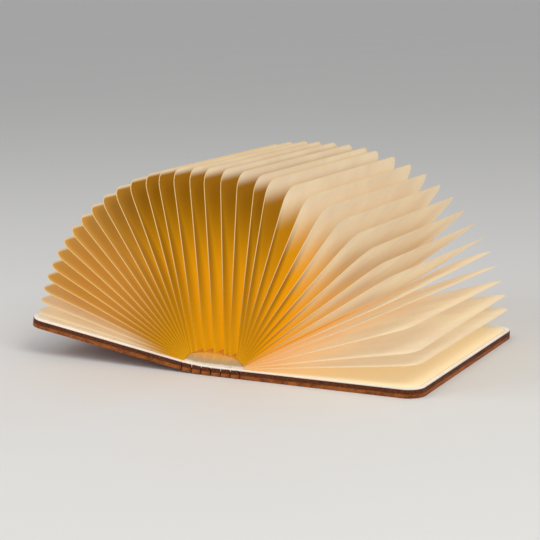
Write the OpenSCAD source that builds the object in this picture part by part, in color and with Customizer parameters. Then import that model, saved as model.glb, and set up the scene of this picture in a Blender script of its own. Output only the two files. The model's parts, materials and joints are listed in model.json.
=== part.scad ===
// Folding book lamp: two wooden covers joined by a slit spine, with a fan of double-walled paper pages.
// The origin is the middle of the lower cover's underside. +X runs from the spine to that cover's
// fore-edge, +Y along the spine towards the charging socket, and +Z up.

/* [Covers] */
// Length of the covers and the spine, along Y
cover_l = 215; // [200:1:230]
// Width of a cover, from the spine's last slit to the fore-edge
cover_w = 142; // [140:1:150]
// Thickness of the wood
board_t = 6.2; // [6.2:0.1:7]
// Radius of a cover's outer corners
cover_r = 13; // [8:1:16]
// Thickness of the paper lining
lining_t = 0.8; // [0.6:0.1:0.9]
// How far the lining stays inside the wood's outline
lining_inset = 0.4; // [0.2:0.1:1]
// Thickness of the glue between the slats and their lining
glue_t = 0.02; // [0.01:0.01:0.05]
// How far the upper cover is raised from flat, in degrees
raise = 9; // [8:0.5:10]

/* [Spine] */
// Distance between neighbouring slits
slat_pitch = 8.2; // [8:0.1:8.5]
// Width of a slit
slit_w = 1; // [0.8:0.1:1.2]
// Width of the notch on each side of a slit, at the lining
notch_w = 0.35; // [0.2:0.05:0.5]
// Depth of that notch
notch_d = 1.1; // [0.6:0.1:1.6]

/* [Pages] */
// Length of a page, from its fold at the spine to its outer fold
page_l = 138; // [128:1:138]
// Distance from the ends of the covers to a page's edges
page_setback = 2; // [1.5:0.5:4]
// Thickness of a page at its root, both walls together
page_root_t = 0.36; // [0.32:0.02:0.36]
// Thickness of a page near its outer fold
page_tip_t = 0.3; // [0.28:0.02:0.32]
// Thickness of the paper
paper_t = 0.13; // [0.11:0.01:0.13]
// Radius of a page's outer corners
page_r = 12; // [8:1:16]
// Number of pages stacked up on each cover
stack_n = 14; // [10:1:14]
// Distance between neighbouring pages in a stack, square to the paper
stack_gap = 0.5; // [0.5:0.01:0.52]

/* [Light] */
// Wall of the soft diffuser
diffuser_wall = 1; // [0.8:0.1:1.4]
// Width of a light strip
strip_w = 5.6; // [5:0.1:6]
// Thickness of a light strip
strip_t = 0.4; // [0.3:0.1:0.6]
// Number of lights on a strip
led_n = 16; // [8:1:20]
// Length of a light's square package
led_a = 2.8; // [2:0.1:3.5]
// Height of a light's package
led_h = 0.8; // [0.6:0.1:1]

/* [Power] */
// Length, width and thickness of the flat cell
cell = [90, 58, 4]; // [3:0.5:95]
// Depth of the cell's pocket in the wood
cell_pocket_d = 4.5; // [4.4:0.1:4.8]
// Length, width and thickness of the charging board
board = [26, 20, 1.2]; // [1:0.1:30]
// Width, height and length of the charging socket's shell
socket = [8.9, 3.2, 7.4]; // [3:0.1:9]
// Radius and thickness of a magnet
magnet = [5, 2]; // [1.5:0.1:6]

/* [Hidden] */
$fn = 64;
slat_n = 6;
page_n = 35;
last = slat_n + 1;
open_angle = 180 - raise;
page_w = cover_l - 2 * page_setback;
hinge_x = -cover_w / 2;
fit = 0.2;

// Angle that each slit has bent by, lying open as shown: the spine lies flat on its first three slats
rest_bends = [0, 0, 0, raise / 4, raise / 4, raise / 4, raise / 4];
// Angle of a link from flat: 0 is the lower cover, 1 to slat_n are the slats and last is the upper cover
function link_angle(i) = i == 0 ? 0 : link_angle(i - 1) + rest_bends[i - 1];
function turned(p, a) = [p[0] * cos(a) + p[1] * sin(a), p[1] * cos(a) - p[0] * sin(a)];
// Middle of the fold between link i and link i + 1, as X and Z
function fold(i) = i == 0 ? [hinge_x, board_t] : fold(i - 1) + turned([-slat_pitch, 0], link_angle(i));
// A link's own frame has its origin in the fold on its lower cover side, with X and Z as when flat
function on_link(i, p) = fold(max(i - 1, 0)) + turned(p, link_angle(i));
// Point at a height above the fold i, square to the bend there
function above_fold(i, h) = fold(i) + turned([0, h], (link_angle(i) + link_angle(i + 1)) / 2);

// Angle of each page above the lower cover: page 1 is next to the upper cover
mid_angles = [101, 97, 94.2, 92.6, 90.2, 86, 82.6];
function low_angle(n) = 6.8 + 4.6 * n + 0.073 * n * n;
function high_angle(n) = 169.3 - 3.75 * n - 0.09 * n * n;
mid_n = page_n - 2 * stack_n;
function page_angle(k) = k <= stack_n ? high_angle(k - 1)
    : k > stack_n + mid_n ? low_angle(page_n - k)
    : mid_angles[k - stack_n - 1];

// Fold of the n-th page of a stack, above the outermost fold of the spine: each page stands beside
// and above the one before, so that they clear each other both fanned out and shut flat
stack_low_x = 3.5;
stack_high_x = 0.2;
stack_z = lining_t + 0.8;
// Step inwards from each fold to the next, beyond what the turn of the pages asks for
step_low = 0.25;
step_high = 0.2;
function lean(n, low) = low ? low_angle(n) : open_angle - high_angle(n);
function stack_root(n, low) = n == 0 ? [low ? stack_low_x : stack_high_x, stack_z]
    : stack_root(n - 1, low) - [low ? step_low : step_high, 0]
        + stack_gap * [-tan((lean(n, low) + lean(n - 1, low)) / 4), 1];
// Folds of the pages in the middle: slat counted from its own cover, place on it and height
mid_low = [[1, -3.6, 8.8], [2, -1.5, 10.1], [2, -5.7, 10.9], [3, -6, 11.2]];
mid_high = [[1, -6.1, 8.8], [2, -2.1, 10.1], [3, -1.5, 11.2]];
function mid_root(k) = k > page_n / 2
    ? let (m = mid_low[page_n - stack_n - k]) on_link(m[0], [m[1], m[2]])
    : let (m = mid_high[k - stack_n - 1]) on_link(last - m[0], [-slat_pitch - m[1], m[2]]);
function page_root(k) = k <= stack_n ? let (p = stack_root(k - 1, false)) on_link(last, [-p[0], p[1]])
    : k > stack_n + mid_n ? on_link(0, stack_root(page_n - k, true))
    : mid_root(k);

// Arch of the diffuser, just under the pages' folds
arch_top = 10.5;
arch_low = [[4, 0], [-2.7, 7.5]];
arch_high = [[0.6, 0], [-4.6, 7.5]];
function circle_centre(a, b, c) =
    let (d = 2 * (a[0] * (b[1] - c[1]) + b[0] * (c[1] - a[1]) + c[0] * (a[1] - b[1])))
    [((a * a) * (b[1] - c[1]) + (b * b) * (c[1] - a[1]) + (c * c) * (a[1] - b[1])) / d,
     ((a * a) * (c[0] - b[0]) + (b * b) * (a[0] - c[0]) + (c * c) * (b[0] - a[0])) / d];

// Places inside the lower cover, from the origin
cell_at = [22, -10];
cell_room = 1;
board_at = [hinge_x + 24, cover_l / 2 - 3 - board[1] / 2];
board_room = 0.5;
board_bed = board_t - 4.9;
board_pocket_d = 5.1;
magnet_x = cover_w / 2 - 12;
magnet_ys = [-78, 78];
reed = [1, 12];
reed_at = [magnet_x, 50];
reed_lift = 1.4;
reed_groove_d = 2.6;
socket_z = board_bed + board[2] + socket[1] / 2;
socket_back = 0.3;

// Flat leads in grooves under the lining, and the ribbon to the light strips
lead = [1.6, 0.8];
lead_z = board_t - 1.2;
groove = [2.4, 1.6];
lead_x = board_at[0] + (groove[0] - lead[0]) / 2;
switch_lead_x = lead_x + lead[0] + 0.4;
switch_lead_y = reed_at[1] + reed[1] / 2 + 10.4;
ribbon_w = 8;
ribbon_t = 0.3;
ribbon_y = cover_l / 2 - 16;
ribbon_low = lining_t + strip_t + 0.06;
ribbon_slot = [1.2, 3.2];
ribbon_groove_d = 0.6;

slat_names = [for (i = [1:slat_n]) str("slat_", i)];
page_names = [for (k = [1:page_n]) str("page_", k)];

// Puts its children, drawn flat in a link's own frame, where that link lies
module at_link(i) {
    f = on_link(i, [0, 0]);
    translate([f[0], 0, f[1]])
        rotate([0, link_angle(i), 0])
            children();
}

// Raises an outline drawn in X and Z along Y, centred
module along_spine(length) {
    rotate([90, 0, 0])
        linear_extrude(length, center = true)
            children();
}

// Outline of a cover in its own frame, from the spine's edge to two rounded corners
module cover_outline(edge, inset) {
    far = cover_w - inset;
    half = cover_l / 2 - inset;
    r = cover_r - inset;
    union() {
        translate([edge, -half])
            square([far - r - edge, 2 * half]);
        translate([far - r - 1, -half + r])
            square([r + 1, 2 * (half - r)]);
        for (s = [-1, 1])
            translate([far - r, s * (half - r)])
                circle(r);
    }
}

module cover_blank() {
    translate([0, 0, -board_t])
        linear_extrude(board_t)
            cover_outline(slit_w / 2, 0);
}

// Pockets for the two closing magnets, open to the lining
module magnet_pockets() {
    for (y = magnet_ys)
        translate([cover_w / 2 + magnet_x, y, -magnet[1] - fit])
            cylinder(h = magnet[1] + 1, r = magnet[0] + fit);
}

module magnet_pair() {
    for (y = magnet_ys)
        translate([cover_w / 2 + magnet_x, y, -magnet[1] - fit / 2])
            cylinder(h = magnet[1], r = magnet[0]);
}

// Pocket in the inner face of the lower cover, centred on a place
module pocket(at, size, depth) {
    translate([at[0] - size[0] / 2, at[1] - size[1] / 2, board_t - depth])
        cube([size[0], size[1], depth + 1]);
}

module cover_lower() {
    color("#5b3020")
        difference() {
            at_link(0)
                difference() {
                    cover_blank();
                    magnet_pockets();
                }
            pocket(cell_at, [cell[0] + 2 * cell_room, cell[1] + 2 * cell_room], cell_pocket_d);
            pocket(board_at, [board[0] + 2 * board_room, board[1] + 2 * board_room], board_pocket_d);
            translate([board_at[0], cover_l / 2, socket_z])
                cube([socket[0] + 2 * fit, 20, socket[1] + 2 * fit], center = true);
            lead_grooves();
            channel([hinge_x + ribbon_slot[0], ribbon_y - ribbon_w / 2 - fit],
                    [board_at[0], ribbon_y + ribbon_w / 2 + fit], ribbon_groove_d);
        }
}

// Groove in the inner face of the lower cover, from one corner to the other
module channel(from, to, depth) {
    translate([from[0], from[1], board_t - depth])
        cube([to[0] - from[0], to[1] - from[1], depth + 1]);
}

// Grooves for the leads to the cell and to the switch, and for the switch itself
module lead_grooves() {
    side = (groove[0] - lead[0]) / 2;
    channel([lead_x - side, cell_at[1] + cell[1] / 2], [lead_x + lead[0] + side, board_at[1]], groove[1]);
    channel([switch_lead_x - side, switch_lead_y - side],
            [switch_lead_x + lead[0] + side, board_at[1]], groove[1]);
    channel([switch_lead_x - side, switch_lead_y - side],
            [reed_at[0] + groove[0] / 2, switch_lead_y + lead[0] + side], groove[1]);
    channel([reed_at[0] - groove[0] / 2, reed_at[1] - reed[1] / 2 - 1],
            [reed_at[0] + groove[0] / 2, switch_lead_y + lead[0] + side], reed_groove_d);
}

module cover_upper() {
    color("#5b3020")
        at_link(last)
            mirror([1, 0, 0])
                difference() {
                    cover_blank();
                    magnet_pockets();
                }
}

module lining_blank() {
    linear_extrude(lining_t)
        cover_outline(slit_w, lining_inset);
}

module lining_lower() {
    color("#e9dcc2")
        difference() {
            at_link(0)
                lining_blank();
            // Slot that the ribbon dives through
            translate([hinge_x, ribbon_y - ribbon_w / 2 - fit, board_t - 1])
                cube([ribbon_slot[1], ribbon_w + 2 * fit, lining_t + 2]);
        }
}

module lining_upper() {
    color("#e9dcc2")
        at_link(last)
            mirror([1, 0, 0])
                lining_blank();
}

// Band that follows the spine between two heights above the folds
function spine_band(low, high, over, links) = concat(
    [on_link(0, [over, low])],
    [for (i = [0:links - 1]) above_fold(i, low)],
    [on_link(links, [-(links == last ? over : slat_pitch - 1), low])],
    [on_link(links, [-(links == last ? over : slat_pitch - 1), high])],
    [for (i = [links - 1:-1:0]) above_fold(i, high)],
    [on_link(0, [over, high])]);

module spine_lining() {
    color("#e9dcc2")
        along_spine(cover_l - 2 * lining_inset)
            polygon(spine_band(glue_t, lining_t, slit_w - 0.1, last));
}

module slat(i) {
    near = -slit_w / 2;
    far = -slat_pitch + slit_w / 2;
    color("#5b3020")
        at_link(i)
            along_spine(cover_l)
                polygon([[near, -board_t], [near, -notch_d], [near - notch_w, -notch_d], [near - notch_w, 0],
                         [far + notch_w, 0], [far + notch_w, -notch_d], [far, -notch_d], [far, -board_t]]);
}

// Section of a page: two walls that part at the root and meet in the outer fold
module page_section() {
    r = page_root_t / 2;
    t = page_tip_t / 2;
    gap = r - paper_t;
    meet = page_l - 6;
    polygon([[0, r], [page_l - 0.5, t], [page_l, t / 4], [page_l, -t / 4], [page_l - 0.5, -t], [0, -r],
             [0, -gap], [meet, -gap / 8], [meet, gap / 8], [0, gap]]);
}

module page_outline() {
    half = page_w / 2;
    translate([0, -half])
        square([page_l - page_r, page_w]);
    translate([page_l - page_r - 1, -half + page_r])
        square([page_r + 1, page_w - 2 * page_r]);
    for (s = [-1, 1])
        translate([page_l - page_r, s * (half - page_r)])
            circle(page_r);
}

module page(k) {
    root = page_root(k);
    color(k % 2 == 0 ? "#f2b84b" : "#f6c765")
        translate([root[0], 0, root[1]])
            rotate([0, -page_angle(k), 0])
                intersection() {
                    along_spine(page_w)
                        page_section();
                    translate([0, 0, -1])
                        linear_extrude(2)
                            page_outline();
                }
}

// Area under the arch, drawn in from its outside by a wall
module arch_area(wall) {
    right = on_link(0, arch_low[1] - [wall, 0]);
    left = on_link(last, [wall - arch_high[1][0], arch_high[1][1]]);
    top = above_fold(3, arch_top);
    centre = circle_centre(right, top, left);
    foot_right = on_link(0, arch_low[0] - [wall, 0]);
    foot_left = on_link(last, [wall - arch_high[0][0], arch_high[0][1]]);
    rise = 20;
    // The sides lean as the stacks of folds do
    lean_right = (foot_right - right) / (right[1] - foot_right[1]) * rise;
    lean_left = (foot_left - left) / (left[1] - foot_left[1]) * rise;
    intersection() {
        translate(centre)
            circle(norm(top - centre) - wall, $fn = 360);
        polygon([foot_right, right - lean_right, left - lean_left, foot_left, above_fold(3, 0)]);
    }
}

module diffuser() {
    long = page_w - 2;
    color("#f0d9a8")
        difference() {
            along_spine(long)
                arch_area(0);
            along_spine(long - 2 * diffuser_wall)
                arch_area(diffuser_wall);
            // It rests on the lining, with a gap for the ribbon
            along_spine(long + 2)
                polygon(spine_band(-30, lining_t + 0.1, 10, last));
            translate([hinge_x - 2, ribbon_y - ribbon_w / 2 - fit, board_t])
                cube([10, ribbon_w + 2 * fit, lining_t + 1]);
        }
}

module led_strip(i) {
    color("#f4f4ee")
        at_link(i)
            translate([-slat_pitch / 2 - strip_w / 2, 10 - page_w / 2, lining_t + 0.02])
                cube([strip_w, page_w - 20, strip_t]);
}

module leds(i) {
    span = page_w - 40;
    color("#ffe9a8")
        at_link(i)
            for (n = [0:led_n - 1])
                translate([-slat_pitch / 2 - led_a / 2, -span / 2 + n * span / (led_n - 1) - led_a / 2,
                           lining_t + strip_t + 0.02])
                    cube([led_a, led_a, led_h]);
}

// Flat ribbon over the light strips, down through the lining's slot and along to the charging board
module power_ribbon() {
    links = 4;
    end = 1 - slat_pitch;
    high = ribbon_low + ribbon_t;
    under = -ribbon_groove_d + 0.1;
    edge = board_at[0] - board[0] / 2 - hinge_x;
    bed = board_bed + board[2] + 0.1 - board_t;
    color("#d9a441")
        translate([0, ribbon_y, 0])
            along_spine(ribbon_w)
                polygon(concat(
                    [for (p = [[edge + 4, bed], [edge + 1.2, bed], [edge, under], [2.3, under], [0.9, ribbon_low]])
                        on_link(0, p)],
                    [for (i = [0:links - 1]) above_fold(i, ribbon_low)],
                    [on_link(links, [end, ribbon_low]), on_link(links, [end, high])],
                    [for (i = [links - 1:-1:0]) above_fold(i, high)],
                    [for (p = [[1.2, high], [2.5, under + ribbon_t], [edge + 0.2, under + ribbon_t],
                               [edge + 1.4, bed + ribbon_t], [edge + 4, bed + ribbon_t]])
                        on_link(0, p)]));
}

module battery() {
    color("#c9ccd1")
        translate([cell_at[0] - cell[0] / 2, cell_at[1] - cell[1] / 2, board_t - cell_pocket_d + 0.1])
            cube(cell);
}

// Flat leads in their grooves, from the charging board to the cell and to the switch
module leads() {
    cell_end = cell_at[1] + cell[1] / 2 + 0.1;
    color("#b02a20") {
        lead_to_board(lead_x, cell_end);
        lead_to_board(switch_lead_x, switch_lead_y);
        translate([switch_lead_x, switch_lead_y, lead_z])
            cube([reed_at[0] - switch_lead_x + lead[0] / 2, lead[0], lead[1]]);
        translate([reed_at[0] - lead[0] / 2, reed_at[1] + reed[1] / 2 + 0.2, lead_z])
            cube([lead[0], switch_lead_y - reed_at[1] - reed[1] / 2, lead[1]]);
    }
}

// Lead along Y that drops onto the charging board at its end
module lead_to_board(x, from) {
    edge = board_at[1] - board[1] / 2;
    bed = board_bed + board[2] + 0.1;
    translate([x + lead[0] / 2, 0, 0])
        rotate([90, 0, 90])
            linear_extrude(lead[0], center = true)
                polygon([[from, lead_z], [edge, lead_z], [edge + 1.5, bed], [edge + 4, bed],
                         [edge + 4, bed + lead[1]], [edge + 1.9, bed + lead[1]], [edge + 0.4, lead_z + lead[1]],
                         [from, lead_z + lead[1]]]);
}

module charge_board() {
    color("#1f6b46")
        translate([board_at[0] - board[0] / 2, board_at[1] - board[1] / 2, board_bed])
            cube(board);
}

// Shell of the charging socket, open at the cover's edge, with its tongue
module charge_socket() {
    wall = 0.35;
    back_wall = 1;
    tongue = [socket[0] - 3.6, 0.7, socket[2] - 1];
    color("#c8c8c8")
        translate([board_at[0], cover_l / 2 - socket_back, socket_z])
            rotate([90, 0, 0]) {
                difference() {
                    linear_extrude(socket[2])
                        socket_outline(0);
                    translate([0, 0, -1])
                        linear_extrude(socket[2] - back_wall + 1)
                            socket_outline(wall);
                }
                translate([-tongue[0] / 2, -tongue[1] / 2, socket[2] - tongue[2] - wall])
                    cube(tongue);
            }
}

module socket_outline(inset) {
    r = socket[1] / 2 - inset;
    side = socket[0] / 2 - socket[1] / 2;
    square([2 * side, 2 * r], center = true);
    for (s = [-1, 1])
        translate([s * side, 0])
            circle(r);
}

module reed_switch() {
    color("#9fb3a8")
        translate([reed_at[0], reed_at[1] + reed[1] / 2, board_t - reed_lift])
            rotate([90, 0, 0])
                cylinder(h = reed[1], r = reed[0]);
}

module magnets_lower() {
    color("silver")
        at_link(0)
            magnet_pair();
}

module magnets_upper() {
    color("silver")
        at_link(last)
            mirror([1, 0, 0])
                magnet_pair();
}

cover_lower();
cover_upper();
lining_lower();
lining_upper();
spine_lining();
diffuser();
for (i = [1:slat_n]) slat(i);
for (k = [1:page_n]) page(k);
led_strip(3);  // led_strip_lower
led_strip(4);  // led_strip_upper
leds(3);  // leds_lower
leds(4);  // leds_upper
power_ribbon();
battery();
leads();
charge_board();
charge_socket();
reed_switch();
magnets_lower();
magnets_upper();
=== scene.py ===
"""Looks of a folding book lamp: wooden covers, a slit spine and a fan of lit paper pages."""

from __future__ import annotations

import json
import logging
import math
from dataclasses import dataclass, field, replace
from enum import Enum

import bpy
from mathutils import Matrix, Vector

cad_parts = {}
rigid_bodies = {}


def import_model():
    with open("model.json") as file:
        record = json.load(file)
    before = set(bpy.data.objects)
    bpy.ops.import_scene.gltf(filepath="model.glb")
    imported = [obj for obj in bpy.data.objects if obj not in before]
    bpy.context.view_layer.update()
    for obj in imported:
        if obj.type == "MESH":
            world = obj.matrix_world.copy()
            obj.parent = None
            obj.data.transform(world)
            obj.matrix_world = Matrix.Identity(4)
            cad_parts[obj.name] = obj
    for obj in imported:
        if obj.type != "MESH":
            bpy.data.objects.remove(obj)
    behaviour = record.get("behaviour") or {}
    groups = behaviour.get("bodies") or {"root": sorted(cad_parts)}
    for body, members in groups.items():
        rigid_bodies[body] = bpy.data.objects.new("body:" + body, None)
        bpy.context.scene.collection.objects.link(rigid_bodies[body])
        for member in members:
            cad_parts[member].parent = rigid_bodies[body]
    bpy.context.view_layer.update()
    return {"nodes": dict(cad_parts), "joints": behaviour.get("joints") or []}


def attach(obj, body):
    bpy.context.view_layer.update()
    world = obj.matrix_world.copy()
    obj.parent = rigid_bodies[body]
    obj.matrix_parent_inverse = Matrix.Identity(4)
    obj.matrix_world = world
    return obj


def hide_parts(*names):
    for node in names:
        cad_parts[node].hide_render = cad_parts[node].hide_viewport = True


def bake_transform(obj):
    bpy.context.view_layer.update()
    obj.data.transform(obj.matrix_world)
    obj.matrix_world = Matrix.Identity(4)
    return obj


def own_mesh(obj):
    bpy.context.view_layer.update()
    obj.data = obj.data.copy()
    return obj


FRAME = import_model()
LOG = logging.getLogger("book_lamp")
PAGE_MARKS = "page_marks"
HEIGHT_MARKS = "height_marks"
MM = 0.001

Triple = tuple[float, float, float]
Colour = Triple
Span = tuple[float, float]
FOLDS = range(1, 8)
SLATS = range(1, 7)


class Side(Enum):
    """The two covers and what belongs to them."""

    LOWER = "lower"
    UPPER = "upper"


class Spine:
    """Where the spine's folds and links lie at rest, read from the joints of the frame."""

    def __init__(self, raise_deg: float = 9.0) -> None:
        """Reads the folds.

        Args:
            raise_deg: How far the upper cover is raised from flat.
        """
        joints = {joint["name"]: joint for joint in FRAME["joints"]}
        self.joints = joints
        self.folds = [Vector(joints[f"spine_fold_{n}"]["pos_m"]) for n in FOLDS]
        self.bodies = [joints["spine_fold_1"]["parent"]]
        self.bodies += [joints[f"spine_fold_{n}"]["child"] for n in FOLDS]
        self.angles = [0.0]
        for near, far in zip(self.folds, self.folds[1:]):
            step = far - near
            self.angles.append(math.atan2(step.z, -step.x))
        self.angles.append(math.radians(raise_deg))
        self.last = len(self.bodies) - 1

    def place(self, link: int) -> Matrix:
        """Gives a link's own frame: its origin in the fold next to the lower cover, Z square to the link.

        Args:
            link: 0 for the lower cover, 1 to 6 for the slats and 7 for the upper cover.

        Returns:
            The matrix from the link's own frame to the row frame.
        """
        fold = self.folds[max(link - 1, 0)]
        return Matrix.Translation(fold) @ Matrix.Rotation(self.angles[link], 4, "Y")


class Nodes:
    """Builds a material's node tree in a few words."""

    def __init__(self, name: str) -> None:
        """Starts a material with one Principled shader.

        Args:
            name: The material's name.
        """
        self.material = bpy.data.materials.new(name)
        self.material.use_nodes = True
        self.tree = self.material.node_tree
        self.shader = next(n for n in self.tree.nodes if n.type == "BSDF_PRINCIPLED")

    def add(self, kind: str, inputs: dict | None = None, **settings: object) -> bpy.types.Node:
        """Adds a node.

        Args:
            kind: The node's type.
            inputs: Values or sockets for its inputs, by name or number.
            settings: Values for its properties.

        Returns:
            The node.
        """
        node = self.tree.nodes.new(kind)
        for key, value in settings.items():
            setattr(node, key, value)
        for key, value in (inputs or {}).items():
            self.plug(node.inputs[key], value)
        return node

    def plug(self, socket: bpy.types.NodeSocket, value: object) -> None:
        """Links or sets one input.

        Args:
            socket: The input.
            value: A socket to link, or a value to set.
        """
        if isinstance(value, bpy.types.NodeSocket):
            self.tree.links.new(value, socket)
        else:
            socket.default_value = value

    def math(self, operation: str, a: object, b: object = 0.0, c: object = 0.0) -> bpy.types.NodeSocket:
        """Adds a Math node and gives its output.

        Args:
            operation: The node's operation.
            a: First value or socket.
            b: Second value or socket.
            c: Third value or socket, which only some operations use.

        Returns:
            The output socket.
        """
        return self.add("ShaderNodeMath", {0: a, 1: b, 2: c}, operation=operation).outputs[0]

    def between(self, value: object, low: object, high: object) -> bpy.types.NodeSocket:
        """Maps a value to 0 at low and 1 at high, eased at both ends.

        Args:
            value: The value or socket.
            low: Where the result is 0.
            high: Where the result is 1.

        Returns:
            The output socket.
        """
        ends = {0: value, 1: low, 2: high}
        return self.add("ShaderNodeMapRange", ends, interpolation_type="SMOOTHSTEP").outputs[0]

    def blend(self, factor: object, a: object, b: object) -> bpy.types.NodeSocket:
        """Mixes two colours.

        Args:
            factor: 0 gives the first and 1 the second.
            a: First colour or socket.
            b: Second colour or socket.

        Returns:
            The output socket.
        """
        node = self.add("ShaderNodeMix", data_type="RGBA", clamp_factor=True)
        self.plug(node.inputs[0], factor)
        self.plug(node.inputs[6], a if isinstance(a, bpy.types.NodeSocket) else (*a, 1.0))
        self.plug(node.inputs[7], b if isinstance(b, bpy.types.NodeSocket) else (*b, 1.0))
        return node.outputs[2]

    def place(self) -> bpy.types.NodeSocket:
        """Gives the Object coordinates."""
        return self.add("ShaderNodeTexCoord").outputs["Object"]

    def noise(
        self, vector: object, scale: float, detail: float = 3.0, rough: float = 0.55
    ) -> bpy.types.NodeSocket:
        """Adds a noise texture and gives its value.

        Args:
            vector: The coordinates.
            scale: Cells per metre.
            detail: Octaves.
            rough: Strength of the finer octaves.

        Returns:
            The output socket.
        """
        sizes = {"Vector": vector, "Scale": scale, "Detail": detail, "Roughness": rough}
        return self.add("ShaderNodeTexNoise", sizes).outputs[0]

    def bump(self, height: object, distance: float, strength: float = 1.0) -> None:
        """Gives the shader a bump.

        Args:
            height: The height, 0 to 1.
            distance: Height of 1, in metres.
            strength: Strength of the effect.
        """
        node = self.add("ShaderNodeBump", {"Height": height, "Distance": distance, "Strength": strength})
        self.tree.links.new(node.outputs[0], self.shader.inputs["Normal"])


@dataclass(frozen=True)
class PageFinish:
    """Lit paper of the pages: amber where the light comes through, cream where it fades.

    A page carries an attribute with the distance from its root, the distance from its outline and
    its angle in half turns, and the pattern follows these.
    """

    name: str
    amber: Colour = (0.85, 0.445, 0.006)
    shade: Colour = (0.27, 0.105, 0.003)
    tan: Colour = (0.78, 0.42, 0.085)
    peach: Colour = (0.92, 0.56, 0.22)
    cream: Colour = (0.95, 0.81, 0.58)
    grey: Colour = (0.90, 0.74, 0.53)
    # painted highlight along the page's outline
    outline_highlight: Colour = (0.92, 0.69, 0.34)
    # painted shade where cream paper runs in under the next page
    fold: Colour = (0.64, 0.45, 0.26)
    paper: float = 0.64
    length: float = 138 * MM
    half: float = 105.5 * MM

    # Width of the cream border: at lean 0 and per half turn, for upright and for lying pages
    upright_border: Span = (0.0315, 0.054)
    lying_border: Span = (0.125, 0.26)
    border_limits: Span = (0.0006, 0.095)
    border_fade: Span = (1.7, 0.35)
    border_room: float = 0.002

    # Where an effect is nil and where it is full: lengths in metres, leans in half turns
    under_reach: Span = (0.085, 0.005)
    under_lean: Span = (0.32, 0.46)
    open_reach: Span = (0.001, 0.015)
    open_along: Span = (-0.05, 0.09)
    peach_lean: Span = (0.22, 0.06)
    back_lean: Span = (0.60, 0.80)
    back_along: Span = (0.020, 0.085)
    flat_lean: Span = (0.885, 0.935)
    flat_along: Span = (0.010, 0.060)
    deep_rim: Span = (0.008, 0.048)
    deep_lean: Span = (0.08, 0.28)
    edge_rim: Span = (0.0009, 0.0004)
    edge_along: Span = (0.015, 0.090)

    # Strength of each effect, and of the painted glow of the lamp's light through the paper where it is
    # warm and where it is pale
    dim_share: float = 0.9
    peach_share: float = 0.8
    tan_share: float = 0.85
    flat_share: float = 0.8
    deep_share: float = 0.75
    edge_share: float = 0.8
    back_pale: float = 0.9
    glows: Span = (0.47, 0.34)

    def border(self, nodes: Nodes, lean: bpy.types.NodeSocket) -> bpy.types.NodeSocket:
        """Gives the width of the cream border, thin on upright pages and wide on those that lie open.

        Args:
            nodes: The material's nodes.
            lean: The page's angle in half turns.

        Returns:
            The width in metres.
        """
        widths = []
        for at_zero, per_turn in (self.upright_border, self.lying_border):
            widths.append(nodes.math("SUBTRACT", at_zero, nodes.math("MULTIPLY", lean, per_turn)))
        width = nodes.math("MAXIMUM", nodes.math("MAXIMUM", *widths), self.border_limits[0])
        return nodes.math("MINIMUM", width, self.border_limits[1])

    def make(self) -> bpy.types.Material:
        """Makes the material.

        Returns:
            The material.
        """
        nodes = Nodes(self.name)
        place = nodes.place()
        marks = nodes.add("ShaderNodeAttribute", attribute_name=PAGE_MARKS).outputs["Vector"]
        along, rim, lean = nodes.add("ShaderNodeSeparateXYZ", {0: marks}).outputs
        across = nodes.add("ShaderNodeSeparateXYZ", {0: place}).outputs[1]
        inward = nodes.math("SUBTRACT", self.half, nodes.math("ABSOLUTE", across))
        outward = nodes.math("SUBTRACT", self.length, along)

        border = self.border(nodes, lean)
        deepest, shallowest = (nodes.math("MULTIPLY", border, share) for share in self.border_fade)
        faded = nodes.between(outward, nodes.math("ADD", deepest, self.border_room), shallowest)

        # Light fades in the corner under the border, and towards the open ends of the fan
        under = nodes.between(nodes.math("SUBTRACT", outward, border), *self.under_reach)
        under = nodes.math("MULTIPLY", under, nodes.between(lean, *self.under_lean))
        open_end = nodes.math("SUBTRACT", 1.0, nodes.between(inward, *self.open_reach))
        open_end = nodes.math("MULTIPLY", open_end, nodes.between(along, *self.open_along))
        dim = nodes.math("MULTIPLY", nodes.math("MAXIMUM", under, open_end), self.dim_share)
        warm = nodes.blend(dim, self.amber, self.shade)
        # Painted light: pages that lie low are lit a paler peach
        lying = nodes.math("MULTIPLY", nodes.between(lean, *self.peach_lean), self.peach_share)
        warm = nodes.blend(lying, warm, self.peach)

        # Painted light: the pages that lie back on the upper cover are painted tan away from the spine,
        # where less light comes through them, and the last ones pale
        back = nodes.between(lean, *self.back_lean)
        back = nodes.math("MULTIPLY", back, nodes.between(along, *self.back_along))
        warm = nodes.blend(nodes.math("MULTIPLY", back, self.tan_share), warm, self.tan)
        flat = nodes.between(lean, *self.flat_lean)
        flat = nodes.math("MULTIPLY", flat, nodes.between(along, *self.flat_along))
        faded = nodes.math("MAXIMUM", faded, nodes.math("MULTIPLY", flat, self.flat_share))

        # Painted shade: cream paper darkens towards the fold colour where it runs in under the next page.
        # Painted highlight: its outline is lightened where it catches the light
        pale = nodes.blend(nodes.between(nodes.noise(place, 25.0), 0.35, 0.65), self.cream, self.grey)
        deep = nodes.between(rim, *self.deep_rim)
        deep = nodes.math("MULTIPLY", deep, nodes.between(lean, *self.deep_lean))
        pale = nodes.blend(nodes.math("MULTIPLY", deep, self.deep_share), pale, self.fold)
        colour = nodes.blend(faded, warm, pale)
        # Painted highlight: a lighter band along the page's outline
        edge = nodes.between(rim, *self.edge_rim)
        edge = nodes.math("MULTIPLY", edge, nodes.between(along, *self.edge_along))
        colour = nodes.blend(nodes.math("MULTIPLY", edge, self.edge_share), colour, self.outline_highlight)
        dull = nodes.add("ShaderNodeVectorMath", {0: colour, "Scale": self.paper}, operation="SCALE")
        nodes.plug(nodes.shader.inputs["Base Color"], dull.outputs[0])

        # Painted glow: the lamp's light through the paper, weaker where it is pale
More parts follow.
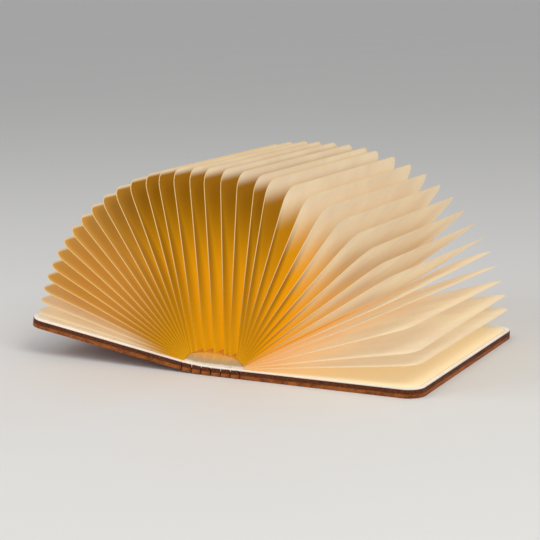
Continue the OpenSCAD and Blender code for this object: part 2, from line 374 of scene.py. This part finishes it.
        glow = nodes.add("ShaderNodeMix", {2: self.glows[0], 3: self.glows[1]}, data_type="FLOAT")
        dimmer = nodes.math("MAXIMUM", faded, nodes.math("MULTIPLY", back, self.back_pale))
        nodes.plug(glow.inputs[0], dimmer)
        nodes.plug(nodes.shader.inputs["Emission Color"], colour)
        nodes.plug(nodes.shader.inputs["Emission Strength"], glow.outputs[0])
        nodes.shader.inputs["Roughness"].default_value = 0.75
        nodes.shader.inputs["Specular IOR Level"].default_value = 0.2
        nodes.bump(nodes.noise(place, 900.0, 4.0), 0.06 * MM)
        return nodes.material


@dataclass(frozen=True)
class SheetFinish:
    """Pale lining paper with a fine tooth, and the end sheet that may be glued on it, with a painted
    shadow line along the sheet's edge.
    """

    name: str
    colour: Colour
    shade: Colour
    glow: float = 0.0
    roughness: float = 0.7
    sheet: Colour = (0.94, 0.81, 0.55)
    sheet_edge_shadow: Colour = (0.55, 0.42, 0.26)
    half: float = 107.5 * MM
    corner: float = 15 * MM
    sheet_edge_shadow_reach: Span = (12.2 * MM, 11.9 * MM)
    sheet_edge: Span = (11.9 * MM, 11.4 * MM)

    def make(self, fore_edge: float | None = None) -> bpy.types.Material:
        """Makes the material.

        Args:
            fore_edge: Where the cover's fore-edge lies, if an end sheet is glued on a little within it.

        Returns:
            The material.
        """
        nodes = Nodes(self.name)
        place = nodes.place()
        mottle = nodes.noise(place, 60.0, 4.0)
        colour = nodes.blend(nodes.between(mottle, 0.35, 0.65), self.colour, self.shade)
        if fore_edge is not None:
            x, y, _ = nodes.add("ShaderNodeSeparateXYZ", {0: place}).outputs
            past_side = nodes.math("SUBTRACT", nodes.math("ABSOLUTE", y), self.half - self.corner)
            past_fore = nodes.math("SUBTRACT", x, fore_edge - self.corner)
            parts = {n: nodes.math("MAXIMUM", past, 0.0) for n, past in enumerate((past_side, past_fore))}
            corner = nodes.add("ShaderNodeCombineXYZ", parts).outputs[0]
            reach = nodes.add("ShaderNodeVectorMath", {0: corner}, operation="LENGTH").outputs["Value"]
            # Painted shadow: a darker line along the edge of the end sheet
            colour = nodes.blend(nodes.between(reach, *self.sheet_edge_shadow_reach), colour, self.sheet_edge_shadow)
            colour = nodes.blend(nodes.between(reach, *self.sheet_edge), colour, self.sheet)
        nodes.plug(nodes.shader.inputs["Base Color"], colour)
        # Painted glow: the lining gives off a little light, standing in for what the lit pages throw on it
        if self.glow > 0:
            nodes.plug(nodes.shader.inputs["Emission Color"], colour)
            nodes.shader.inputs["Emission Strength"].default_value = self.glow
        nodes.shader.inputs["Roughness"].default_value = self.roughness
        nodes.shader.inputs["Specular IOR Level"].default_value = 0.25
        nodes.bump(nodes.noise(place, 1500.0), 0.04 * MM)
        return nodes.material


@dataclass(frozen=True)
class ArchFinish:
    """Soft diffuser over the lights, with painted light: lit amber on top, darker lower down, greyish
    where it meets the lining, and a painted glow.
    """

    name: str
    top: Colour = (0.66, 0.31, 0.05)
    side: Colour = (0.44, 0.29, 0.15)
    foot: Colour = (0.66, 0.58, 0.49)
    foot_height: Span = (1.6 * MM, 3.2 * MM)
    top_height: Span = (4.0 * MM, 9.5 * MM)
    uneven: float = 3 * MM
    glow: float = 0.22

    def make(self) -> bpy.types.Material:
        """Makes the material.

        Returns:
            The material.
        """
        nodes = Nodes(self.name)
        place = nodes.place()
        height = nodes.add("ShaderNodeAttribute", attribute_name=HEIGHT_MARKS).outputs["Fac"]
        wave = nodes.math("MULTIPLY", nodes.math("SUBTRACT", nodes.noise(place, 90.0), 0.5), self.uneven)
        height = nodes.math("ADD", height, wave)
        # Painted light by height: greyish at the foot, darker in the sides, lit amber on top
        colour = nodes.blend(nodes.between(height, *self.foot_height), self.foot, self.side)
        colour = nodes.blend(nodes.between(height, *self.top_height), colour, self.top)
        nodes.plug(nodes.shader.inputs["Base Color"], colour)
        nodes.plug(nodes.shader.inputs["Emission Color"], colour)
        nodes.shader.inputs["Emission Strength"].default_value = self.glow
        nodes.shader.inputs["Roughness"].default_value = 0.8
        nodes.shader.inputs["Specular IOR Level"].default_value = 0.2
        nodes.bump(nodes.noise(place, 700.0, 4.0), 0.08 * MM)
        return nodes.material


@dataclass(frozen=True)
class WoodFinish:
    """Stained walnut with a darker, streaked band along the upper part of its edge."""

    name: str
    pale: Colour = (0.42, 0.125, 0.024)
    dark: Colour = (0.17, 0.046, 0.014)
    band: Colour = (0.135, 0.036, 0.013)
    pore: Colour = (0.040, 0.012, 0.006)
    thickness: float = 6.2 * MM
    stretch: Triple = (1.0, 0.09, 1.6)
    layer_edge: Span = (0.62, 0.42)

    def make(self, link: Matrix) -> bpy.types.Material:
        """Makes the material for one link of the spine.

        Args:
            link: The link's own frame, with its inner face at height 0.

        Returns:
            The material.
        """
        nodes = Nodes(self.name)
        turn = link.to_euler()
        place = nodes.place()
        origin = tuple(link.translation)
        centred = nodes.add("ShaderNodeVectorMath", {0: place, 1: origin}, operation="SUBTRACT").outputs[0]
        turned = {"Vector": centred, "Rotation": (0.0, -turn.y, 0.0)}
        local = nodes.add("ShaderNodeMapping", turned, vector_type="POINT").outputs[0]
        parts = nodes.add("ShaderNodeSeparateXYZ", {0: local}).outputs
        along = nodes.add("ShaderNodeMapping", {"Vector": local, "Scale": self.stretch}).outputs[0]
        fibre = nodes.noise(along, 900.0, 6.0, 0.65)
        rings = nodes.noise(along, 130.0, 3.0)
        grain = nodes.math("MULTIPLY_ADD", fibre, 0.55, nodes.math("MULTIPLY", rings, 0.45))
        colour = nodes.blend(nodes.between(grain, 0.40, 0.60), self.pale, self.dark)
        layer = nodes.between(parts[2], *(-self.thickness * share for share in self.layer_edge))
        streaks = nodes.blend(nodes.between(fibre, 0.42, 0.60), self.band, self.pore)
        colour = nodes.blend(nodes.math("MULTIPLY", layer, 0.9), colour, streaks)
        nodes.plug(nodes.shader.inputs["Base Color"], colour)
        rough = nodes.math("MULTIPLY_ADD", nodes.between(grain, 0.3, 0.7), 0.18, 0.5)
        nodes.shader.inputs["Specular IOR Level"].default_value = 0.12
        nodes.plug(nodes.shader.inputs["Roughness"], rough)
        nodes.bump(fibre, 0.08 * MM)
        return nodes.material


@dataclass(frozen=True)
class PlainFinish:
    """Small hidden parts: metal, plastic and glass with a slight mottle."""

    name: str
    colour: Colour
    metallic: float = 0.0
    roughness: float = 0.5
    glow: float = 0.0

    def make(self) -> bpy.types.Material:
        """Makes the material.

        Returns:
            The material.
        """
        nodes = Nodes(self.name)
        darker = tuple(0.8 * part for part in self.colour)
        mottle = nodes.between(nodes.noise(nodes.place(), 400.0), 0.4, 0.6)
        colour = nodes.blend(mottle, self.colour, darker)
        nodes.plug(nodes.shader.inputs["Base Color"], colour)
        nodes.shader.inputs["Metallic"].default_value = self.metallic
        nodes.shader.inputs["Roughness"].default_value = self.roughness
        if self.glow > 0:
            nodes.plug(nodes.shader.inputs["Emission Color"], colour)
            nodes.shader.inputs["Emission Strength"].default_value = self.glow
        return nodes.material


def deselect() -> None:
    """Leaves nothing selected, so that an operator acts on the new primitive only."""
    for thing in list(bpy.context.selected_objects):
        thing.select_set(False)


def pick(thing: bpy.types.Object) -> None:
    """Makes one object the selected and active one.

    Args:
        thing: The object.
    """
    deselect()
    thing.select_set(True)
    bpy.context.view_layer.objects.active = thing


def apply_modifiers(thing: bpy.types.Object) -> None:
    """Applies every modifier of an object.

    Args:
        thing: The object.
    """
    pick(thing)
    for modifier in list(thing.modifiers):
        bpy.ops.object.modifier_apply(modifier=modifier.name)


def smooth(thing: bpy.types.Object, angle: float = 35.0) -> None:
    """Shades an object smooth, apart from its edges sharper than an angle.

    Args:
        thing: The object.
        angle: The angle in degrees.
    """
    pick(thing)
    bpy.ops.object.shade_smooth_by_angle(angle=math.radians(angle))


def dress(node: str, material: bpy.types.Material) -> None:
    """Gives a CAD node a material.

    Args:
        node: The node's name.
        material: The material.
    """
    thing = FRAME["nodes"][node]
    thing.data.materials.clear()
    thing.data.materials.append(material)


@dataclass(frozen=True)
class Wave:
    """How far one page leaves its plane, in mm away from the lower cover.

    near is at its near corner, middle in its middle and far halfway along its far edge.
    """

    near: float = 0.0
    middle: float = 0.0
    far: float = 0.0

    def lift(self, along: float, across: float) -> float:
        """Gives the distance from the plane.

        Args:
            along: Share of the page's length, from its root.
            across: Share of its half width, -1 at the near edge.

        Returns:
            The distance in metres.
        """
        corner = self.near * along**1.5 * (1 - across) / 2
        full_hump = 4 / 27
        hump = along * along * (1 - along) / full_hump
        bow = self.middle * (1 - across * across) + self.far * ((1 + across) / 2) ** 2
        return (corner + hump * bow) * MM


PAGE_WAVES = {
    29: Wave(near=1.0, middle=-2.0),
    30: Wave(near=3.5, middle=-5.5),
    31: Wave(far=4.0),
    32: Wave(near=7.0, far=1.5),
    33: Wave(near=3.5),
    34: Wave(near=-2.5),
}


@dataclass
class PageFan:
    """The fan of folded pages."""

    spine: Spine
    count: int = 35
    length: float = 138 * MM
    width: float = 211 * MM
    corner: float = 12 * MM
    paper: float = 0.13 * MM
    root_half: float = 0.115 * MM
    meet_half: float = 0.07 * MM
    meet: float = 6 * MM
    cells: int = 12
    rings: int = 24
    crowd: float = 1.4
    keep: float = 0.03
    waves: dict[int, Wave] = field(default_factory=lambda: dict(PAGE_WAVES))

    def blank(self) -> bpy.types.Object:
        """Models one page lying flat along +X: a sheet folded in two, with rounded outer corners.

        Returns:
            The page, with its fold at X = length and its open edges at X = 0.
        """
        deselect()
        bpy.ops.mesh.primitive_grid_add(x_subdivisions=2 * self.cells, y_subdivisions=self.rings, size=2)
        page = bpy.context.active_object
        half = self.width / 2
        for vertex in page.data.vertices:
            u, v = vertex.co.x, vertex.co.y
            arc = max(2 * abs(v) - 1, 0.0) * math.pi / 2
            if arc > 0:
                y = half - self.corner + self.corner * math.sin(arc)
            else:
                y = 2 * abs(v) * (half - self.corner)
            reach = self.length - self.corner * (1 - math.cos(arc))
            s = 1 - abs(u)
            x = reach * (1 - (1 - s) ** self.crowd)
            t = min((reach - x) / self.meet, 1.0)
            open_up = max((reach - self.meet - x) / (reach - self.meet), 0.0)
            z = self.meet_half * min(t * 12, 1.0) + (self.root_half - self.meet_half) * open_up
            vertex.co = Vector((x, math.copysign(y, v), math.copysign(z, u) if abs(u) > 1e-6 else 0.0))
        thick = page.modifiers.new("paper", "SOLIDIFY")
        thick.thickness = self.paper
        thick.offset = 0.0
        apply_modifiers(page)
        return page

    def rim(self, x: float, y: float) -> float:
        """Gives the distance from a page's outline.

        Args:
            x: Distance from the root.
            y: Place along the spine.

        Returns:
            The distance.
        """
        out, side = self.length - x, self.width / 2 - abs(y)
        if out < self.corner and side < self.corner:
            return self.corner - math.hypot(self.corner - out, self.corner - side)
        return min(out, side)

    def build(self, face: bpy.types.Material) -> None:
        """Makes every page from one blank and hangs it on its crease.

        Args:
            face: Finish of the paper.
        """
        blank = self.blank()
        for number in range(1, self.count + 1):
            name = f"page_{number}"
            node = FRAME["nodes"][name]
            root = Vector(self.spine.joints[f"page_fold_{number}"]["pos_m"])
            corners = (vertex.co for vertex in node.data.vertices)
            far = max(corners, key=lambda p: math.hypot(p.x - root.x, p.z - root.z))
            lean = math.atan2(far.z - root.z, far.x - root.x)
            page = blank.copy()
            page.data = blank.data.copy()
            page.name = f"paper_page_{number}"
            bpy.context.collection.objects.link(page)
            wave = self.waves.get(number, Wave())
            marks = page.data.attributes.new(PAGE_MARKS, "FLOAT_VECTOR", "POINT")
            for mark, vertex in zip(marks.data, page.data.vertices):
                x, y, z = vertex.co
                mark.vector = (x, self.rim(x, y), lean / math.pi)
                vertex.co.z = z + wave.lift(min(max(x / self.length, 0.0), 1.0), 2 * y / self.width)
            page.data.transform(Matrix.Translation(root) @ Matrix.Rotation(-lean, 4, "Y"))
            page.data.materials.append(face)
            smooth(page, 50)
            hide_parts(name)
            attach(page, name)
            if number in self.waves:
                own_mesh(page)
        bpy.data.objects.remove(blank)
        LOG.info("pages: %d", self.count)


@dataclass
class SoftSpine:
    """The lining of the spine, the diffuser and the ribbon, cut into stretches at the slats; the
    diffuser's stretches and the lining's scraps are hung on the links.
    """

    spine: Spine
    length: float = 214.2 * MM
    lining: float = 0.8 * MM
    pitch: float = 8.2 * MM
    keep: float = 0.12
    tuft_radius: float = 0.45 * MM
    tuft_depths: Triple = (1.05 * MM, 1.95 * MM, 2.85 * MM)

    def section(self, fold: int) -> tuple[Vector, Vector]:
        """Gives the ends of the stretch that spans one fold.

        Args:
            fold: Number of the fold, from 0.

        Returns:
            The middle of the link before the fold, and of the link after it.
        """
        here = self.spine.folds[fold]
        before = here + self.spine.place(fold).to_3x3() @ Vector((self.pitch / 2, 0, 0))
        after = here + self.spine.place(fold + 1).to_3x3() @ Vector((-self.pitch / 2, 0, 0))
        return before, after

    def cut(
        self, source: bpy.types.Object, name: str, planes: list[tuple[Vector, Vector]]
    ) -> bpy.types.Object | None:
        """Copies a whole form and cuts away what lies beyond some planes.

        Args:
            source: The whole form at rest.
            name: The piece's name.
            planes: A point of each plane, and the direction in which all is cut away.

        Returns:
            The piece, or None if nothing is left.
        """
        piece = source.copy()
        piece.data = source.data.copy()
        piece.name = name
        bpy.context.collection.objects.link(piece)
        pick(piece)
        bpy.ops.object.mode_set(mode="EDIT")
        for point, normal in planes:
            bpy.ops.mesh.select_all(action="SELECT")
            bpy.ops.mesh.bisect(plane_co=point, plane_no=normal, clear_outer=True, use_fill=True)
        bpy.ops.object.mode_set(mode="OBJECT")
        if piece.data.polygons:
            return piece
        bpy.data.objects.remove(piece)
        return None

    def settle(self, piece: bpy.types.Object, finish: bpy.types.Material, node: str) -> None:
        """Gives a piece its material and smooth shading, and hides the CAD node that it stands for.

        Args:
            piece: The piece.
            finish: Its material.
            node: CAD node that it stands for.
        """
        piece.data.materials.clear()
        piece.data.materials.append(finish)
        smooth(piece, 40)
        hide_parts(node)

    def slices(
        self, source: bpy.types.Object, name: str, finish: bpy.types.Material, slot: str, node: str
    ) -> None:
        """Cuts a whole form at the middles of the slats into stretches.

        Args:
            source: The whole form at rest.
            name: Start of the pieces' names.
            finish: Their material.
            slot: Not used.
            node: CAD node that they stand for.
        """
        for fold in range(len(self.spine.folds)):
            before, after = self.section(fold)
            planes = []
            if fold > 0:
                planes.append((before, self.spine.place(fold).to_3x3() @ Vector((1, 0, 0))))
            if fold + 1 < self.spine.last:
                planes.append((after, self.spine.place(fold + 1).to_3x3() @ Vector((-1, 0, 0))))
            piece = self.cut(source, f"{name}_{fold + 1}", planes)
            if piece is not None:
                self.settle(piece, finish, node)
                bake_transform(piece)
        LOG.info("%s: cut into stretches", name)

    def pressed(
        self, source: bpy.types.Object, name: str, finish: bpy.types.Material, slot: str, node: str
    ) -> None:
        """Cuts a soft form at the folds, hangs each stretch on its link and marks each point's height
        above the link.

        Args:
            source: The whole form at rest.
            name: Start of the pieces' names.
            finish: Their material.
            slot: Not used.
            node: CAD node that they stand for.
        """
        turns = [self.spine.place(link).to_3x3() for link in range(self.spine.last + 1)]
        outward = [turn @ Vector((1, 0, 0)) for turn in turns]
        for link in range(self.spine.last + 1):
            planes = []
            if link > 0:
                planes.append((self.spine.folds[link - 1], outward[link - 1] + outward[link]))
            if link < self.spine.last:
                planes.append((self.spine.folds[link], -outward[link] - outward[link + 1]))
            piece = self.cut(source, f"{name}_{link}", planes)
            if piece is None:
                continue
            level = self.spine.place(link).inverted()
            heights = piece.data.attributes.new(HEIGHT_MARKS, "FLOAT", "POINT")
            for mark, vertex in zip(heights.data, piece.data.vertices):
                mark.value = (level @ vertex.co).z
            self.settle(piece, finish, node)
            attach(piece, self.spine.bodies[link])
            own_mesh(piece)
        LOG.info("%s: cut into stretches", name)

    def tufts(self, finish: bpy.types.Material) -> None:
        """Hangs a torn scrap of the lining in the near end of each slit.

        Args:
            finish: Material of the lining.
        """
        for fold in range(len(self.spine.folds)):
            deselect()
            deep = self.tuft_depths[fold % len(self.tuft_depths)]
            bpy.ops.mesh.primitive_cone_add(vertices=5, radius1=self.tuft_radius, radius2=0.0, depth=deep)
            scrap = bpy.context.active_object
            scrap.name = f"lining_scrap_{fold + 1}"
            hang = Matrix.Translation((0, -self.length / 2 + self.tuft_radius, -deep / 2))
            turned = Matrix.Rotation(math.pi, 4, "X")
            scrap.data.transform(self.spine.place(fold + 1) @ hang @ turned)
            scrap.data.materials.append(finish)
            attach(scrap, self.spine.bodies[fold])

    def copy_of(self, node: str) -> bpy.types.Object:
        """Copies a CAD node as a clean closed mesh.

        Args:
            node: The node's name.

        Returns:
            The copy.
        """
        source = FRAME["nodes"][node]
        copy = source.copy()
        copy.data = source.data.copy()
        copy.name = f"{node}_form"
        copy.parent = None
        copy.matrix_world = Matrix.Identity(4)
        bpy.context.collection.objects.link(copy)
        pick(copy)
        bpy.ops.object.mode_set(mode="EDIT")
        bpy.ops.mesh.select_all(action="SELECT")
        bpy.ops.mesh.remove_doubles(threshold=1e-6)
        bpy.ops.mesh.normals_make_consistent(inside=False)
        bpy.ops.object.mode_set(mode="OBJECT")
        return copy

    def build(
        self, lining: bpy.types.Material, diffuser: bpy.types.Material, flex: bpy.types.Material
    ) -> None:
        """Makes the three soft forms.

        Args:
            lining: Finish of the lining.
            diffuser: Finish of the diffuser.
            flex: Finish of the ribbon.
        """
        self.tufts(lining)
        for node, name, finish, slot, fit in (
            ("spine_lining", "lining_stretch", lining, "lining", self.slices),
            ("diffuser", "diffuser_stretch", diffuser, "diffuser", self.pressed),
            ("power_ribbon", "ribbon_stretch", flex, "flex", self.slices),
        ):
            form = self.copy_of(node)
            fit(form, name, finish, slot, node)
            bpy.data.objects.remove(form)


@dataclass
class Studio:
    """Floor, lights and camera."""

    eye: Triple = (0.4557, -1.1036, 0.2974)
    turn: float = 26.671
    dip: float = 10.805
    roll: float = -0.755
    lens: float = 104.44
    sensor: float = 36.0
    floor: Colour = (0.80, 0.79, 0.77)
    floor_size: float = 120.0
    middle: Triple = (-0.09, 0.0, 0.05)

    def camera(self) -> None:
        """Places the camera as the photograph was taken."""
        yaw, pitch, roll = (math.radians(a) for a in (self.turn, self.dip, self.roll))
        level = Vector((-math.sin(yaw), math.cos(yaw), 0.0))
        forward = math.cos(pitch) * level - math.sin(pitch) * Vector((0.0, 0.0, 1.0))
        right = Vector((math.cos(yaw), math.sin(yaw), 0.0))
        up = right.cross(forward)
        across = math.cos(roll) * right + math.sin(roll) * up
        above = math.cos(roll) * up - math.sin(roll) * right
        data = bpy.data.cameras.new("camera")
        data.lens = self.lens
        data.sensor_width = self.sensor
        data.clip_end = self.floor_size
        camera = bpy.data.objects.new("camera", data)
        camera.matrix_world = Matrix(
            (
                (across.x, above.x, -forward.x, self.eye[0]),
                (across.y, above.y, -forward.y, self.eye[1]),
                (across.z, above.z, -forward.z, self.eye[2]),
                (0, 0, 0, 1),
            )
        )
        bpy.context.collection.objects.link(camera)
        bpy.context.scene.camera = camera

    def lamp(self, name: str, at: Triple, size: float, power: float, colour: Colour) -> None:
        """Adds a soft area lamp that looks at the object.

        Args:
            name: The lamp's name.
            at: Its place.
            size: Its side in metres.
            power: Its power in watts.
            colour: Its colour.
        """
        data = bpy.data.lights.new(name, "AREA")
        data.size = size
        data.energy = power
        data.color = colour
        lamp = bpy.data.objects.new(name, data)
        lamp.location = at
        aim = Vector(self.middle) - Vector(at)
        lamp.rotation_euler = aim.to_track_quat("-Z", "Y").to_euler()
        bpy.context.collection.objects.link(lamp)

    def build(self) -> None:
        """Makes the floor, the world and the lamps."""
        deselect()
        bpy.ops.mesh.primitive_plane_add(size=self.floor_size)
        floor = bpy.context.active_object
        floor.name = "floor"
        nodes = Nodes("floor")
        mottle = nodes.noise(nodes.place(), 3.0)
        darker = tuple(0.96 * part for part in self.floor)
        nodes.plug(nodes.shader.inputs["Base Color"], nodes.blend(mottle, self.floor, darker))
        nodes.shader.inputs["Roughness"].default_value = 0.8
        floor.data.materials.append(nodes.material)
        world = bpy.data.worlds.new("studio")
        world.use_nodes = True
        background = world.node_tree.nodes["Background"]
        background.inputs[0].default_value = (0.92, 0.93, 0.95, 1)
        background.inputs[1].default_value = 0.5
        bpy.context.scene.world = world
        self.lamp("key", at=(0.9, -0.7, 1.3), size=0.9, power=13, colour=(1.0, 0.97, 0.92))
        self.lamp("fill", at=(-1.2, -0.9, 0.8), size=1.2, power=8, colour=(0.94, 0.97, 1.0))
        bpy.context.scene.view_settings.view_transform = "Standard"
        self.camera()
        LOG.info("studio is set")


def dress_frame(spine: Spine, lining: SheetFinish) -> None:
    """Gives every CAD node that stays its material.

    Args:
        spine: Where the links lie.
        lining: Finish of the covers' lining.
    """
    upper = lining.make()
    fore_edge = max(vertex.co.x for vertex in FRAME["nodes"]["lining_lower"].data.vertices)
    dress("lining_lower", replace(lining, name="lining_lower").make(fore_edge))
    dress("lining_upper", upper)
    wood = ["cover_lower", *[f"slat_{n}" for n in SLATS], "cover_upper"]
    for link, node in enumerate(wood):
        dress(node, WoodFinish(f"walnut_{link}").make(spine.place(link)))
    for side in Side:
        dress(f"led_strip_{side.value}", PlainFinish(f"flex_{side.value}", (0.85, 0.82, 0.74)).make())
        dress(f"leds_{side.value}", PlainFinish(f"led_{side.value}", (1.0, 0.75, 0.35), glow=1.5).make())
        steel = PlainFinish(f"steel_{side.value}", (0.6, 0.6, 0.61), metallic=1.0, roughness=0.35)
        dress(f"magnets_{side.value}", steel.make())
    dress("battery", PlainFinish("pouch", (0.7, 0.71, 0.74), metallic=0.8, roughness=0.4).make())
    dress("leads", PlainFinish("lead_sleeve", (0.45, 0.05, 0.03)).make())
    dress("charge_board", PlainFinish("circuit_board", (0.03, 0.22, 0.11), roughness=0.4).make())
    socket = PlainFinish("socket_steel", (0.62, 0.62, 0.63), metallic=1.0, roughness=0.3)
    dress("charge_socket", socket.make())
    dress("reed_switch", PlainFinish("glass_tube", (0.55, 0.66, 0.6), roughness=0.1).make())
    LOG.info("frame is dressed")


def main() -> None:
    """Builds the studio, then the lamp's pieces in order."""
    logging.basicConfig(level=logging.INFO)
    spine = Spine()
    Studio().build()
    lining = SheetFinish("lining", (0.90, 0.85, 0.76), (0.84, 0.78, 0.67), glow=0.14)
    diffuser = ArchFinish("diffuser").make()
    flex = PlainFinish("flex", (0.85, 0.82, 0.74)).make()
    dress_frame(spine, lining)
    SoftSpine(spine).build(lining.make(), diffuser, flex)
    PageFan(spine).build(PageFinish("page_paper").make())


if __name__ == "__main__":
    main()
